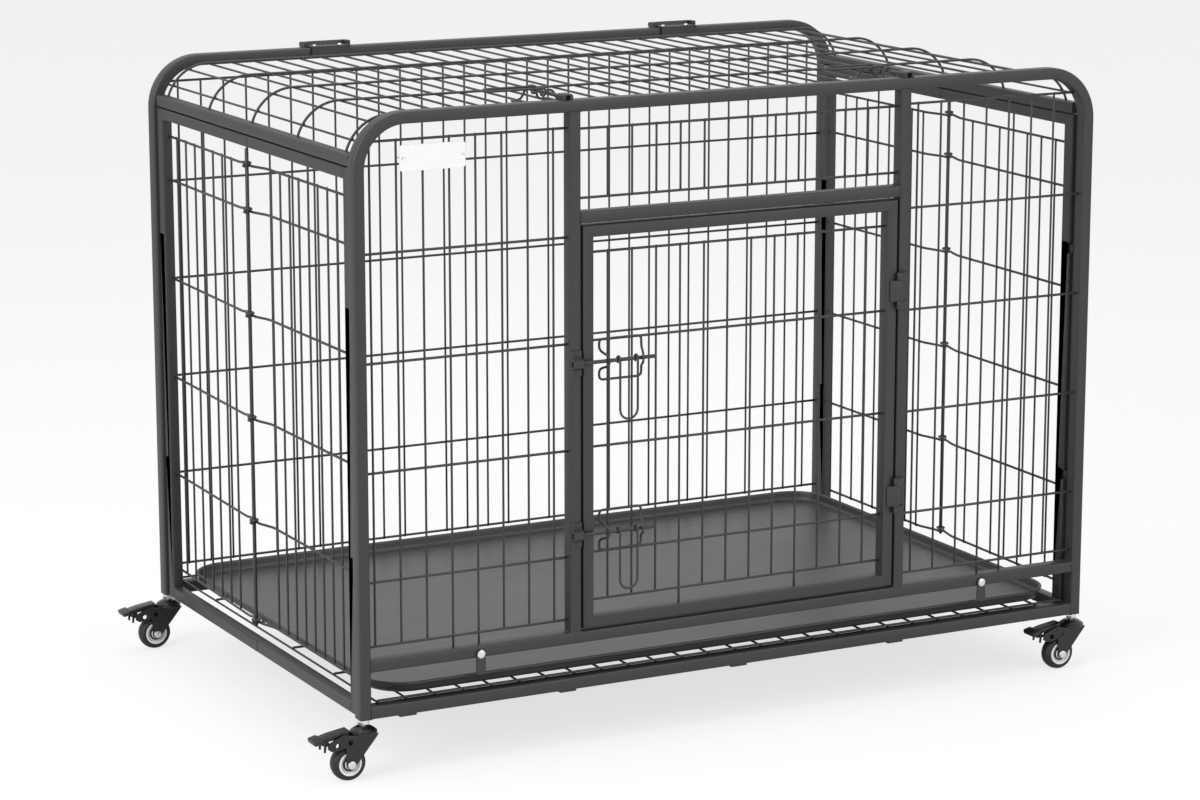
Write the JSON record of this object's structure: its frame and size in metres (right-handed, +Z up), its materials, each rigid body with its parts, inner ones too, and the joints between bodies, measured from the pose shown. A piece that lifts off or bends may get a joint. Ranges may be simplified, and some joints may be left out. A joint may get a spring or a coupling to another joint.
{
  "type": "folding dog crate",
  "caption": "Wire dog crate on swivel casters with a front door, hinged lid, slide-out tray and end panels that fold inwards.",
  "frame": {"origin": "centre of the bounding box in plan, on the floor under the wheels", "axes": "+X along the crate to the door's hinge side, +Y from the door to the back, +Z up"},
  "size_m": [1.148, 0.7076, 0.8367],
  "materials": {
    "frame_coat": "satin charcoal powder coat on steel tube",
    "wire_coat": "satin charcoal powder coat on welded wire",
    "tray_sheet": "grey powder coat on pressed steel sheet",
    "fork_steel": "gloss black paint on pressed steel",
    "tyre_rubber": "matt black rubber",
    "hub_nylon": "white moulded plastic",
    "bright_steel": "bright zinc-plated steel"
  },
  "bodies": {
    "front": {"front_frame": "frame_coat", "front_left_mesh": "wire_coat", "front_right_mesh": "wire_coat", "front_upper_mesh": "wire_coat", "floor_grid": "wire_coat", "door_hinge_pin_lower": "frame_coat", "door_hinge_pin_upper": "frame_coat"},
    "tray": {"tray": "tray_sheet"},
    "tray_latch_left": {"tray_latch_left": "frame_coat"},
    "tray_latch_right": {"tray_latch_right": "frame_coat"},
    "door": {"door_frame": "frame_coat", "door_mesh": "wire_coat"},
    "door_bolt_lower": {"door_bolt_lower": "wire_coat"},
    "door_bolt_upper": {"door_bolt_upper": "wire_coat"},
    "door_handle_lower": {"door_handle_lower": "wire_coat"},
    "door_handle_upper": {"door_handle_upper": "wire_coat"},
    "left_front_panel": {"left_front_panel_frame": "frame_coat", "left_front_panel_mesh": "wire_coat", "left_fold_rod": "wire_coat"},
    "left_back_panel": {"left_back_panel_frame": "frame_coat", "left_back_panel_mesh": "wire_coat"},
    "right_front_panel": {"right_front_panel_frame": "frame_coat", "right_front_panel_mesh": "wire_coat", "right_fold_rod": "wire_coat"},
    "right_back_panel": {"right_back_panel_frame": "frame_coat", "right_back_panel_mesh": "wire_coat"},
    "back": {"back_frame": "frame_coat", "back_mesh": "wire_coat"},
    "lid_hinge": {"lid_hinge_pin_left": "bright_steel", "lid_hinge_pin_right": "bright_steel"},
    "lid": {"lid_rail_left": "frame_coat", "lid_rail_right": "frame_coat", "lid_mesh": "wire_coat", "lid_leaf_left": "frame_coat", "lid_leaf_right": "frame_coat"},
    "lid_bolt_left": {"lid_bolt_left": "wire_coat"},
    "lid_bolt_right": {"lid_bolt_right": "wire_coat"},
    "lid_handle_left": {"lid_handle_left": "wire_coat"},
    "lid_handle_right": {"lid_handle_right": "wire_coat"},
    "front_left_caster": {"front_left_caster_fork": "fork_steel", "front_left_caster_axle": "bright_steel"},
    "front_left_caster_wheel": {"front_left_caster_tyre": "tyre_rubber", "front_left_caster_hub": "hub_nylon"},
    "front_left_caster_pedal": {"front_left_caster_pedal": "fork_steel"},
    "front_right_caster": {"front_right_caster_fork": "fork_steel", "front_right_caster_axle": "bright_steel"},
    "front_right_caster_wheel": {"front_right_caster_tyre": "tyre_rubber", "front_right_caster_hub": "hub_nylon"},
    "front_right_caster_pedal": {"front_right_caster_pedal": "fork_steel"},
    "back_left_caster": {"back_left_caster_fork": "fork_steel", "back_left_caster_axle": "bright_steel"},
    "back_left_caster_wheel": {"back_left_caster_tyre": "tyre_rubber", "back_left_caster_hub": "hub_nylon"},
    "back_left_caster_pedal": {"back_left_caster_pedal": "fork_steel"},
    "back_right_caster": {"back_right_caster_fork": "fork_steel", "back_right_caster_axle": "bright_steel"},
    "back_right_caster_wheel": {"back_right_caster_tyre": "tyre_rubber", "back_right_caster_hub": "hub_nylon"},
    "back_right_caster_pedal": {"back_right_caster_pedal": "fork_steel"}
  },
  "joints": [
    {"name": "end_fold", "type": "hinge", "parent": "front", "child": "left_front_panel", "pos_m": [-0.499, -0.31202, 0], "axis": [0, 0, 1], "range_deg": [-88, 0]},
    {"name": "left_middle_fold", "type": "hinge", "parent": "left_front_panel", "child": "left_back_panel", "pos_m": [-0.507, 0.00048, 0], "axis": [0, 0, -1], "range_deg": [-176, 0]},
    {"name": "left_back_fold", "type": "hinge", "parent": "left_back_panel", "child": "back", "pos_m": [-0.499, 0.31298, 0], "axis": [0, 0, 1], "range_deg": [-88, 0]},
    {"name": "right_front_fold", "type": "hinge", "parent": "front", "child": "right_front_panel", "pos_m": [0.553, -0.31202, 0], "axis": [0, 0, -1], "range_deg": [-88, 0]},
    {"name": "right_middle_fold", "type": "hinge", "parent": "right_front_panel", "child": "right_back_panel", "pos_m": [0.561, 0.00048, 0], "axis": [0, 0, 1], "range_deg": [-176, 0]},
    {"name": "lid_release", "type": "hinge", "parent": "back", "child": "lid_hinge", "pos_m": [0.027, 0.34978, 0.831], "axis": [1, 0, 0], "range_deg": [-88, 0]},
    {"name": "lid_open", "type": "hinge", "parent": "lid_hinge", "child": "lid", "pos_m": [0.027, 0.34978, 0.831], "axis": [-1, 0, 0], "range_deg": [0, 100]},
    {"name": "door_swing", "type": "hinge", "parent": "front", "child": "door", "pos_m": [0.26095, -0.34932, 0], "axis": [0, 0, 1], "range_deg": [0, 165]},
    {"name": "tray_slide", "type": "slide", "parent": "front", "child": "tray", "axis": [0, -1, 0], "range_m": [0, 0.6]},
    {"name": "tray_latch_left_swing", "type": "hinge", "parent": "front", "child": "tray_latch_left", "pos_m": [-0.3465, -0.34582, 0.1405], "axis": [0, 1, 0], "range_deg": [-90, 90]},
    {"name": "tray_latch_right_swing", "type": "hinge", "parent": "front", "child": "tray_latch_right", "pos_m": [0.4005, -0.34582, 0.1405], "axis": [0, 1, 0], "range_deg": [-90, 90]},
    {"name": "door_bolt_lower_slide", "type": "slide", "parent": "door", "child": "door_bolt_lower", "axis": [1, 0, 0], "range_m": [-0.0115, 0]},
    {"name": "door_handle_lower_swing", "type": "hinge", "parent": "door_bolt_lower", "child": "door_handle_lower", "pos_m": [-0.2035, -0.34732, 0.2775], "axis": [-1, 0, 0], "range_deg": [0, 110]},
    {"name": "door_bolt_upper_slide", "type": "slide", "parent": "door", "child": "door_bolt_upper", "axis": [1, 0, 0], "range_m": [-0.0115, 0]},
    {"name": "door_handle_upper_swing", "type": "hinge", "parent": "door_bolt_upper", "child": "door_handle_upper", "pos_m": [-0.2035, -0.34732, 0.498], "axis": [-1, 0, 0], "range_deg": [0, 110]},
    {"name": "lid_bolt_left_slide", "type": "slide", "parent": "lid", "child": "lid_bolt_left", "axis": [0, 1, 0], "range_m": [-0.0115, 0]},
    {"name": "lid_handle_left_swing", "type": "hinge", "parent": "lid_bolt_left", "child": "lid_handle_left", "pos_m": [-0.2205, -0.32422, 0.8308], "axis": [0, 1, 0], "range_deg": [0, 160]},
    {"name": "lid_bolt_right_slide", "type": "slide", "parent": "lid", "child": "lid_bolt_right", "axis": [0, 1, 0], "range_m": [-0.0115, 0]},
    {"name": "lid_handle_right_swing", "type": "hinge", "parent": "lid_bolt_right", "child": "lid_handle_right", "pos_m": [0.2745, -0.32422, 0.8308], "axis": [0, 1, 0], "range_deg": [0, 160]},
    {"name": "front_left_caster_swivel", "type": "hinge", "parent": "front", "child": "front_left_caster", "pos_m": [-0.503, -0.33452, 0.0575], "axis": [0, 0, 1], "continuous": true},
    {"name": "front_left_caster_roll", "type": "hinge", "parent": "front_left_caster", "child": "front_left_caster_wheel", "pos_m": [-0.525, -0.33452, 0.0225], "axis": [0, 1, 0], "continuous": true},
    {"name": "front_left_caster_brake", "type": "hinge", "parent": "front_left_caster", "child": "front_left_caster_pedal", "pos_m": [-0.533, -0.33452, 0.0583], "axis": [0, -1, 0], "range_deg": [0, 10]},
    {"name": "front_right_caster_swivel", "type": "hinge", "parent": "front", "child": "front_right_caster", "pos_m": [0.557, -0.33452, 0.0575], "axis": [0, 0, 1], "continuous": true},
    {"name": "front_right_caster_roll", "type": "hinge", "parent": "front_right_caster", "child": "front_right_caster_wheel", "pos_m": [0.535, -0.33452, 0.0225], "axis": [0, 1, 0], "continuous": true},
    {"name": "front_right_caster_brake", "type": "hinge", "parent": "front_right_caster", "child": "front_right_caster_pedal", "pos_m": [0.527, -0.33452, 0.0583], "axis": [0, -1, 0], "range_deg": [0, 10]},
    {"name": "back_left_caster_swivel", "type": "hinge", "parent": "back", "child": "back_left_caster", "pos_m": [-0.503, 0.33548, 0.0575], "axis": [0, 0, -1], "continuous": true},
    {"name": "back_left_caster_roll", "type": "hinge", "parent": "back_left_caster", "child": "back_left_caster_wheel", "pos_m": [-0.525, 0.33548, 0.0225], "axis": [0, 1, 0], "continuous": true},
    {"name": "back_left_caster_brake", "type": "hinge", "parent": "back_left_caster", "child": "back_left_caster_pedal", "pos_m": [-0.533, 0.33548, 0.0583], "axis": [0, -1, 0], "range_deg": [0, 10]},
    {"name": "back_right_caster_swivel", "type": "hinge", "parent": "back", "child": "back_right_caster", "pos_m": [0.557, 0.33548, 0.0575], "axis": [0, 0, -1], "continuous": true},
    {"name": "back_right_caster_roll", "type": "hinge", "parent": "back_right_caster", "child": "back_right_caster_wheel", "pos_m": [0.535, 0.33548, 0.0225], "axis": [0, 1, 0], "continuous": true},
    {"name": "back_right_caster_brake", "type": "hinge", "parent": "back_right_caster", "child": "back_right_caster_pedal", "pos_m": [0.527, 0.33548, 0.0583], "axis": [0, -1, 0], "range_deg": [0, 10]}
  ],
  "couplings": [
    {"joint": "left_middle_fold", "follows": "end_fold", "ratio": 2},
    {"joint": "left_back_fold", "follows": "end_fold", "ratio": 1},
    {"joint": "right_front_fold", "follows": "end_fold", "ratio": 1},
    {"joint": "right_middle_fold", "follows": "end_fold", "ratio": 2},
    {"joint": "lid_release", "follows": "end_fold", "ratio": 1}
  ]
}
